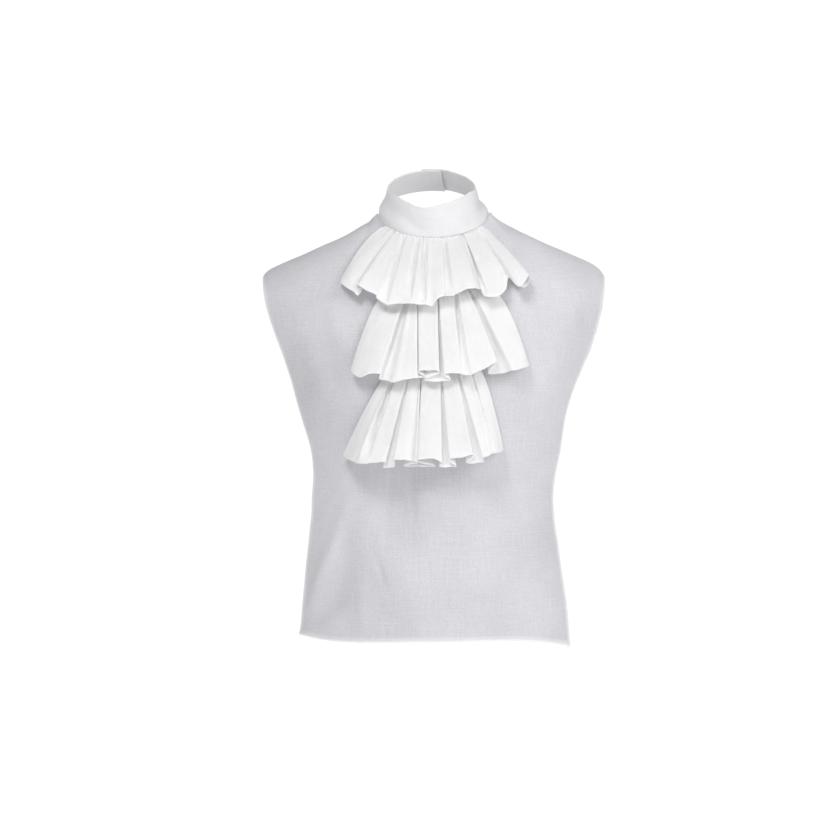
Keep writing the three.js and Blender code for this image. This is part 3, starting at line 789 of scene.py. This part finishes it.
# %% Tables of folds
Crest = namedtuple("Crest", "head foot drop rise")
Pleat = namedtuple("Pleat", "head foot left_drop drop right_drop mouth left right depth")
Tuck = namedtuple("Tuck", "side head foot soft_drop drop edge_drop soft under head_depth depth")
top_folds = [
    Crest(-1, -0.985, 0.665, 0.35),
    Crest(-0.94, -0.955, 0.7, 0.7),
    Crest(-0.86, -0.9, 0.75, 0.85),
    Crest(-0.79, -0.84, 0.8, 0.75),
    Crest(-0.755, -0.79, 0.855, 0.55),
    Crest(-0.735, -0.745, 0.74, 0.3),
    Crest(-0.745, -0.8, 0.705, 0.62),
    Crest(-0.725, -0.785, 0.72, 1),
    Crest(-0.66, -0.7, 0.785, 1),
    Crest(-0.6, -0.6, 0.865, 1),
    Tuck(1, -0.505, -0.49, 0.9, 1.0, 1.01, 0.85, -0.02, 2, 0),
    Crest(-0.39, -0.37, 0.98, 1),
    Tuck(1, -0.247, -0.245, 0.985, 0.985, 0.985, 0.7, -0.02, 1.5, -0.15),
    Crest(-0.18, -0.18, 0.997, 1),
    Tuck(1, -0.112, -0.09, 1.0, 1.003, 1.006, 0.62, -0.02, 1.8, 0),
    Crest(-0.03, -0.025, 1.015, 1),
    Crest(0.05, 0.035, 0.915, 1),
    Tuck(-1, 0.141, 0.115, 0.865, 0.87, 0.875, 0.72, -0.02, 1.7, -0.15),
    Crest(0.26, 0.22, 0.845, 1),
    Crest(0.37, 0.33, 0.775, 1),
    Tuck(-1, 0.47, 0.44, 0.775, 0.76, 0.752, 0.4, 0, 0.3, 0.4),
    Tuck(1, 0.535, 0.57, 0.87, 0.885, 0.893, 0.45, 0, 2, -0.2),
    Crest(0.63, 0.62, 0.888, 0.97),
    Crest(0.71, 0.685, 0.855, 0.92),
    Crest(0.76, 0.745, 0.77, 0.8),
    Crest(0.79, 0.765, 0.62, 0.5),
    Crest(0.82, 0.79, 0.6, 0.35),
    Crest(0.86, 0.85, 0.7, 0.9),
    Crest(0.9, 0.895, 0.725, 1.15),
    Crest(0.93, 0.945, 0.65, 1.2),
    Crest(0.955, 0.99, 0.565, 0.95),
    Crest(0.965, 1, 0.61, 0.6),
    Crest(0.975, 0.98, 0.69, 0.25),
    Crest(0.985, 0.935, 0.735, 0.15),
    Crest(0.99, 0.9, 0.71, 0.45),
    Crest(0.995, 0.92, 0.665, 0.75),
    Crest(1, 0.955, 0.64, 0.6),
]
middle_folds = [
    Crest(-0.955, -0.93, 0.885, 0.35),
    Crest(-0.9, -0.9, 0.93, 0.7),
    Crest(-0.82, -0.82, 0.965, 0.9),
    Crest(-0.7, -0.72, 0.922, 0.95),
    Tuck(-1, -0.53, -0.6, 1.022, 0.985, 0.925, 1.0, 0.08, 1.5, 0.4),
    Crest(-0.4, -0.36, 0.995, 1),
    Pleat(-0.325, -0.179, 0.97, 0.965, 0.893, 0.05, 0.05, 0.5, 0.3),
    Crest(-0.12, -0.05, 0.885, 1),
    Pleat(0.07, 0.078, 0.893, 1.0, 0.925, 0.22, 1.1, 0.45, 0.25),
    Crest(0.22, 0.2, 0.915, 1),
    Tuck(-1, 0.37, 0.31, 0.94, 0.935, 0.93, 0.72, 0, 1.8, 0),
    Crest(0.49, 0.42, 0.932, 1),
    Crest(0.56, 0.54, 0.88, 1),
    Tuck(-1, 0.655, 0.696, 0.89, 0.925, 0.8, 1.3, 0.6, 0.9, 0.8),
    Crest(0.87, 0.95, 0.875, 0.9),
    Crest(0.97, 1.03, 0.85, 0.7),
    Crest(1.035, 1.06, 0.83, 0.35),
]
bottom_folds = [
    Crest(-1, -1.135, 0.885, 0.35),
    Crest(-0.95, -1.08, 0.92, 0.75),
    Crest(-0.89, -0.98, 0.95, 0.9),
    Tuck(1, -0.82, -0.83, 0.96, 0.962, 0.962, 0.88, 0, 2.2, -0.2),
    Crest(-0.7, -0.72, 0.955, 1),
    Pleat(-0.56, -0.56, 0.95, 0.998, 0.925, 0.3, 0.12, 0.1, 0.25),
    Crest(-0.44, -0.38, 0.925, 1),
    Crest(-0.35, -0.28, 0.94, 0.8),
    Pleat(-0.3, -0.208, 0.945, 0.99, 0.93, 0.05, 1, 1.3, 0.4),
    Crest(-0.09, -0.04, 0.91, 1),
    Pleat(0.155, 0.144, 0.945, 0.995, 0.915, 0.3, 0.15, 0.5, 0.25),
    Crest(0.33, 0.33, 0.905, 1),
    Pleat(0.52, 0.537, 0.875, 0.955, 0.9, 0.38, 0.5, 0.05, 0.25),
    Crest(0.68, 0.67, 0.89, 0.95),
    Pleat(0.81, 0.735, 0.872, 0.868, 0.862, 0.12, -0.05, -0.05, 0.06),
    Crest(0.93, 0.82, 0.85, 0.85),
    Crest(1, 0.86, 0.83, 0.35),
]

# %% [markdown]
# Each ruffle's places are worked out from its seam downward. left_flare and right_flare say how soon
# the sides spread: below 1, most of the spread comes just under the heading.

# %% Sizes of the ruffles
Ruffle = namedtuple(
    "Ruffle",
    "name node folds start drop head_half hem_half left_flare right_flare width lift gather_reach "
    "dimples",
)
Dimple = namedtuple("Dimple", "x z size deep")
top_seam_turn = 61  # how far round the neck the top ruffle is sewn in, in degrees to each side
heading_slope = math.tan(math.radians(2.5))
ruffle_stand = 17 * mm
heading_pleat = 3 * mm
heading_mouth = 1 * mm
lowest_level = 0.04  # of the pleats' depth, where a fold comes down to the bib
pleat_lip = 1.8 * mm
pleat_growth = 0.8
sewn_up = 2.5 * mm  # how far the top ruffle goes up between the bib and the collar
sewn_lift = 0.15  # share of the lift that the ruffles' side edges keep
lift_reach = 30 * mm  # from the side edge to the full lift
hem_waver = 0.012  # of the drop
ruffle_hem = 4 * mm
ruffle_hem_blend = 1.2 * mm
ruffle_columns = 460
ruffle_rows = 62
top = Ruffle(
    name="ruffle_top_cloth",
    node="ruffle_top",
    folds=top_folds,
    start=0,
    drop=90 * mm,
    head_half=None,  # this one is sewn into the neck seam
    hem_half=129 * mm,
    left_flare=0.62,
    right_flare=0.74,
    width=440 * mm,
    lift=6 * mm,
    gather_reach=7 * mm,
    dimples=[Dimple(x=60 * mm, z=-65 * mm, size=5 * mm, deep=2.5 * mm)],
)
middle = Ruffle(
    name="ruffle_middle_cloth",
    node="ruffle_middle",
    folds=middle_folds,
    start=69 * mm,
    drop=123 * mm,
    head_half=67 * mm,
    hem_half=120 * mm,
    left_flare=0.56,
    right_flare=0.52,
    width=380 * mm,
    lift=6 * mm,
    gather_reach=24 * mm,
    dimples=[
        Dimple(x=75 * mm, z=-125 * mm, size=8 * mm, deep=1.5 * mm),
        Dimple(x=-67 * mm, z=-128 * mm, size=6 * mm, deep=2.5 * mm),
        Dimple(x=-54 * mm, z=-130 * mm, size=6 * mm, deep=2.5 * mm),
    ],
)
bottom = Ruffle(
    name="ruffle_bottom_cloth",
    node="ruffle_bottom",
    folds=bottom_folds,
    start=171 * mm,
    drop=137 * mm,
    head_half=55.3 * mm,
    hem_half=108 * mm,
    left_flare=0.8,
    right_flare=0.62,
    width=380 * mm,
    lift=17 * mm,
    gather_reach=24 * mm,
    dimples=[
        Dimple(x=-17 * mm, z=-236 * mm, size=6 * mm, deep=2 * mm),
        Dimple(x=-3 * mm, z=-234 * mm, size=6 * mm, deep=2.2 * mm),
        Dimple(x=13 * mm, z=-236 * mm, size=6 * mm, deep=2 * mm),
        Dimple(x=50 * mm, z=-240 * mm, size=8 * mm, deep=2.5 * mm),
    ],
)

# %% From a table to the cloth's section
Knot = namedtuple("Knot", "head foot head_aside foot_aside head_level foot_level drop")


lip_turn = 0.35  # share of a pleat's depth by which its lips turn in
lip_drop = 0.3  # share of the way from a panel's drop to the pleat's


def pleat_knots(pleat):
    """The six points of a pleat's section: its two lips, and the cloth that turns in between them."""
    mouth = pleat.mouth * ruffle_stand
    left = mouth + pleat.left * ruffle_stand
    right = mouth + pleat.right * ruffle_stand
    lip_level = 1 - lip_turn * pleat.depth
    deep = 1 - pleat.depth
    head_deep = 0.5
    left_lip_drop = mix(pleat.left_drop, pleat.drop, lip_drop)
    right_lip_drop = mix(pleat.right_drop, pleat.drop, lip_drop)
    # how far aside at the heading and at the hem, the level at the heading and at the hem, and the drop
    rows = [
        (-heading_mouth - pleat_lip / 2, -mouth - pleat_lip, 1, 1, pleat.left_drop),
        (-heading_mouth, -mouth, 0.85, lip_level, left_lip_drop),
        (-heading_mouth / 2, -left, head_deep, deep, pleat.drop),
        (heading_mouth / 2, right, head_deep, deep, pleat.drop),
        (heading_mouth, mouth, 0.85, lip_level, right_lip_drop),
        (heading_mouth + pleat_lip / 2, mouth + pleat_lip, 1, 1, pleat.right_drop),
    ]
    return [Knot(pleat.head, pleat.foot, *row) for row in rows]


def tuck_knots(tuck):
    """The five points of a tuck's section, from the gentle slope to the sharp edge."""
    soft = tuck.soft * ruffle_stand
    under = tuck.under * ruffle_stand
    slope_drop = mix(tuck.soft_drop, tuck.drop, 0.6)
    # how far aside at the heading and at the hem, the share of the tuck's depth, and the drop
    rows = [
        (-6 * heading_mouth, -soft, 0, tuck.soft_drop),
        (-3 * heading_mouth, -soft / 2, 0.8, slope_drop),
        (-0.2 * heading_mouth, under, 1, tuck.drop),
        (0, 0, 0.4, tuck.edge_drop),
        (pleat_lip / 2, pleat_lip, 0, tuck.edge_drop),
    ]
    knots = []
    for head_aside, foot_aside, share, drop in rows[:: tuck.side]:
        asides = (tuck.side * head_aside, tuck.side * foot_aside)
        levels = (1 - share * tuck.head_depth, 1 - share * tuck.depth)
        knots.append(Knot(tuck.head, tuck.foot, *asides, *levels, drop))
    return knots


def section_knots(folds):
    knots = []
    for fold in folds:
        if isinstance(fold, Crest):
            knots.append(Knot(fold.head, fold.foot, 0, 0, fold.rise, fold.rise, fold.drop))
        elif isinstance(fold, Tuck):
            knots += tuck_knots(fold)
        else:
            knots += pleat_knots(fold)
    return knots


def even_columns(knots, hem_half, columns):
    """The section at even steps along the hem, so that the grid's columns are evenly spaced there."""
    samples = 3000
    places = [(len(knots) - 1) * i / samples for i in range(samples + 1)]
    spots = []
    for place in places:
        knot = Knot(*along_rows(knots, place))
        spots.append(Vector((knot.foot * hem_half + knot.foot_aside, knot.foot_level * ruffle_stand)))
    lengths = [0]
    for before, after in zip(spots, spots[1:]):
        lengths.append(lengths[-1] + (after - before).length)
    found = []
    i = 0
    for column in range(columns + 1):
        target = lengths[-1] * column / columns
        while i < samples - 1 and lengths[i + 1] < target:
            i += 1
        step = (target - lengths[i]) / max(lengths[i + 1] - lengths[i], 1e-9)
        found.append(Knot(*along_rows(knots, mix(places[i], places[i + 1], min(step, 1)))))
    return found, lengths[-1]


# %% [markdown]
# The ruffles lie on the bib, so a ray goes from in front to the bib for each point, and the cloth is set
# off from there, square to the bib's slope. A point keeps its place in the front view.

# %% Place a point in front of the bib
steepest = 0.4  # the bib counts as no steeper than this where it turns over the shoulders


def bib_spot(x, z, guess):
    """The bib's depth behind a place in the front view, and how squarely it faces the front there."""
    hit, _, face, _ = bib_front.ray_cast(Vector((x, -1, z)), Vector((0, 1, 0)))
    if hit is None:
        hit, _, face, _ = bib_front.find_nearest(Vector((x, guess, z)))
    corners, normals = bib_faces[face]
    weights = poly_3d_calc(corners, hit)
    forward = -sum(weight * normal.y for weight, normal in zip(weights, normals))
    return hit.y, max(forward, steepest)


def before_bib(x, z, distance, guess=-0.1):
    y, forward = bib_spot(x, z, guess)
    return Vector((x, y - distance / forward, z))


# %% [markdown]
# The fine forms come on top of the folds. Small gathers crowd along the heading and die out below it,
# each at its own depth. Long soft creases run down the panels, and the hem wavers a little.

# %% Gathers, creases and the hang of a ruffle
gather_pitch = 4.4 * mm
gather_height = 1.3 * mm
shortest_gather = 2 * mm
Crease = namedtuple("Crease", "across down height")
line_crease = Crease(across=15, down=1.6, height=0.9 * mm)
ripple_crease = Crease(across=34, down=6, height=0.55 * mm)
crumple_crease = Crease(across=62, down=16, height=0.3 * mm)


def gathers(across, below, longest, seed):
    """Height of the small gathers, at a place across the heading and a distance below it."""
    steps = across / gather_pitch
    drift = 1.6 * noise.noise(Vector((steps / 4, seed, 0)))
    wave = 0.5 + 0.5 * math.sin(2 * math.pi * (steps + drift))
    uneven = 0.5 + noise.noise(Vector((steps / 1.5, seed, 5)))
    reach = max(longest * uneven, shortest_gather)
    return gather_height * wave * math.exp(-below / reach)


def crease_height(crease, across, down, seed):
    spot = Vector((across * crease.across, down * crease.down, seed))
    return crease.height * noise.noise(spot)


def creases(across, down, seed):
    """Height of the long soft creases, at shares of the strip's width and drop."""
    lines = crease_height(line_crease, across, down, seed)
    ripples = crease_height(ripple_crease, across, down, seed + 3)
    crumples = crease_height(crumple_crease, across, down, seed + 6)
    return (lines + ripples) * ease(down * 3) + crumples


def hang_ruffle(ruffle, seed):
    knots = section_knots(ruffle.folds)
    columns, hem_length = even_columns(knots, ruffle.hem_half, ruffle_columns)
    sewn_to_neck = ruffle.head_half is None
    head_half = ruffle.head_half or neck_half_width

    def place(across, down):
        knot = columns[round(across * ruffle_columns)]
        row = round(down * ruffle_rows)
        turn = knot.head * top_seam_turn + math.degrees(knot.head_aside / neck_half_width)
        seam = neck_ring(turn, neck_half_width, neck_half_depth)
        if sewn_to_neck and row == 0:
            return seam + sewn_up * seam_up + seam_gap * neck_outward(turn)
        fall = (row - 1) / (ruffle_rows - 1) if sewn_to_neck else row / ruffle_rows
        head_x = seam.x - knot.head_aside if sewn_to_neck else knot.head * head_half
        head_z = seam.z if sewn_to_neck else head_x * heading_slope - throat_drop - ruffle.start
        waver = hem_waver * noise.noise(Vector((across * 30, 0, seed)))
        foot_z = -throat_drop - ruffle.start - ruffle.drop * (knot.drop + waver)
        flare = ruffle.left_flare if knot.head < 0 else ruffle.right_flare
        spread = fall ** mix(1, flare, min(knot.head ** 4, 1))
        x = mix(head_x, knot.foot * ruffle.hem_half, spread)
        x += mix(knot.head_aside, knot.foot_aside, fall)
        z = mix(head_z, foot_z, fall)
        level = max(mix(knot.head_level, knot.foot_level, fall), lowest_level)
        depth = mix(0 if sewn_to_neck else heading_pleat, ruffle_stand, fall ** pleat_growth)
        aside = min(across, 1 - across) * hem_length
        lift = ruffle.lift * mix(sewn_lift, 1, ease(aside / lift_reach))
        distance = sewn_offset + lift * fall * fall + level * depth
        heading_place = knot.head * head_half + knot.head_aside
        distance += gathers(heading_place, fall * ruffle.drop, ruffle.gather_reach, seed)
        distance += creases(across, fall, seed)
        for dimple in ruffle.dimples:
            gap = (Vector((x, z)) - Vector((dimple.x, dimple.z))).length / dimple.size
            distance -= dimple.deep * math.exp(-gap * gap)
        return before_bib(x, z, distance, seam.y)

    def hem_at(across, down):
        below = (1 - down) * ruffle.drop
        aside = min(across, 1 - across) * hem_length
        return ease((ruffle_hem - min(below, aside)) / ruffle_hem_blend)

    flat = (ruffle.width, ruffle.drop)
    sheet = cloth_grid(ruffle_columns, ruffle_rows, place, flat, hem_at)
    area = sum(face.calc_area() for face in sheet.faces)
    print(ruffle.name, "hem", round(hem_length, 3), "area", round(area, 4), "flat", flat)
    piece = give_thickness(hang_piece(ruffle.name, sheet, ruffle_cotton, "ruffle_cotton"))
    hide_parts(ruffle.node)
    return piece


top_piece = hang_ruffle(top, seed=11)
middle_piece = hang_ruffle(middle, seed=23)
bottom_piece = hang_ruffle(bottom, seed=37)

# %% [markdown]
# A few long threads have come out of the left corners of the middle and the bottom ruffle. Each starts a
# little in front of the bib, beside the cloth's edge, and curls like the bib's own. In their rows, x, z
# and length are in millimetres, and aside and rise give the direction.

# %% Loose threads of the ruffles
thread_stand = 6 * mm
Loose = namedtuple("Loose", "x z aside rise length")
middle_threads = [
    Loose(x=-109, z=-214, aside=-1, rise=0.9, length=12),
    Loose(x=-106, z=-216, aside=-1, rise=0.3, length=9),
    Loose(x=-103, z=-218, aside=-0.8, rise=-0.5, length=7),
]
bottom_threads = [
    Loose(x=-121, z=-331, aside=-0.8, rise=0.7, length=7),
    Loose(x=-120, z=-334, aside=-0.6, rise=-0.9, length=6),
]


def ruffle_threads(name, rows, node):
    """The loose threads of one ruffle, as one piece."""
    strands = bmesh.new()
    for row in rows:
        root = before_bib(row.x * mm, row.z * mm, thread_stand)
        strand = loose_thread(draw, root, Vector((row.aside, -0.1, row.rise)), row.length * mm, curl=0.3)
        add_thread(strands, strand, radius=0.2 * mm)
    return thread_piece(name, strands, node)


middle_thread_piece = ruffle_threads("middle_loose_threads", middle_threads, "ruffle_middle")
bottom_thread_piece = ruffle_threads("bottom_loose_threads", bottom_threads, "ruffle_bottom")

# %% [markdown]
# The sheets were cut as a strip for each ruffle, a folded strip for the collar, and the bib's panel,
# whose cut is narrower at the waist and hollowed for the neck.

# %% [markdown]
# The camera stands level with the chest, straight in front, far enough away that the view is almost
# without perspective. The light is a bright studio: a large soft lamp above on the left, a wider and
# weaker one lower on the right, and white all round. The floor and the surroundings look white to the
# camera, but light the cloth much less than that, so that the folds keep their shadows.

# %% Camera
photo_pixels = 825
pixel_mm = 1.35
photo_width = photo_pixels * pixel_mm * mm
camera_distance = 8
sharp_plane = 70 * mm
camera_data = bpy.data.cameras.new("camera")
camera_data.sensor_width = 36
camera_data.lens = camera_data.sensor_width * (camera_distance - sharp_plane) / photo_width
camera_data.clip_end = 100
camera = add_to_scene("camera", camera_data)
camera.location = (-29 * mm, -camera_distance, -269.3 * mm)
camera.rotation_euler = (math.pi / 2, 0, 0)
bpy.context.scene.camera = camera
bpy.context.scene.view_settings.view_transform = "Standard"
print("lens", round(camera_data.lens, 1))

# %% Floor, lamps and surroundings
white = (1, 1, 1, 1)
seen_white = 1.05  # how bright the floor and the surroundings look to the camera
paper_light = 0.38  # how much light the floor gives
surround_light = 0.27  # how much light the surroundings give


def add_lamp(name, place, aim, size, watts):
    light = bpy.data.lights.new(name, "AREA")
    light.shape = "DISK"
    light.size = size
    light.energy = watts
    lamp = add_to_scene(name, light)
    lamp.location = place
    lamp.rotation_euler = (Vector(aim) - Vector(place)).to_track_quat("-Z", "Y").to_euler()


chest = (0, -0.1, -0.25)
add_lamp("key_lamp", place=(-0.85, -2.3, 2.0), aim=chest, size=1.2, watts=44)
add_lamp("side_lamp", place=(2.0, -1.8, 0.9), aim=chest, size=1.6, watts=31)


def seen_or_lit(tree, lit, seen):
    """White when the camera looks at it, and the lit shader for every other ray."""
    rays = add_node(tree, "ShaderNodeLightPath", {})
    sockets = {0: rays.outputs["Is Camera Ray"], 1: lit, 2: seen}
    return add_node(tree, "ShaderNodeMixShader", sockets).outputs[0]


def white_paper():
    surface = {
        "Base Color": (0.9, 0.9, 0.9, 1),
        "Roughness": 0.9,
        "Emission Color": white,
        "Emission Strength": paper_light,
    }
    paper, tree, shader = new_finish("white_paper", surface)
    glow = add_node(tree, "ShaderNodeEmission", {"Color": white, "Strength": seen_white})
    shown = seen_or_lit(tree, shader.outputs[0], glow.outputs[0])
    tree.links.new(shown, tree.nodes["Material Output"].inputs["Surface"])
    return paper


def make_floor(height, half_side):
    bm = bmesh.new()
    bmesh.ops.create_grid(bm, x_segments=1, y_segments=1, size=half_side)
    bmesh.ops.translate(bm, verts=bm.verts, vec=(0, 0, height))
    mesh = make_mesh("floor", bm)
    mesh.materials.append(white_paper())
    return add_to_scene("floor", mesh)


floor_drop = 0.4
make_floor(height=cad_box[0][2] - floor_drop, half_side=40)

world = bpy.data.worlds.new("studio")
bpy.context.scene.world = world
world.use_nodes = True
sky = world.node_tree
sky.nodes.clear()
lit = add_node(sky, "ShaderNodeBackground", {"Color": white, "Strength": surround_light})
seen = add_node(sky, "ShaderNodeBackground", {"Color": white, "Strength": seen_white})
add_node(sky, "ShaderNodeOutputWorld", {"Surface": seen_or_lit(sky, lit.outputs[0], seen.outputs[0])})
print("lamps:", [lamp.name for lamp in bpy.data.objects if lamp.type == "LIGHT"])
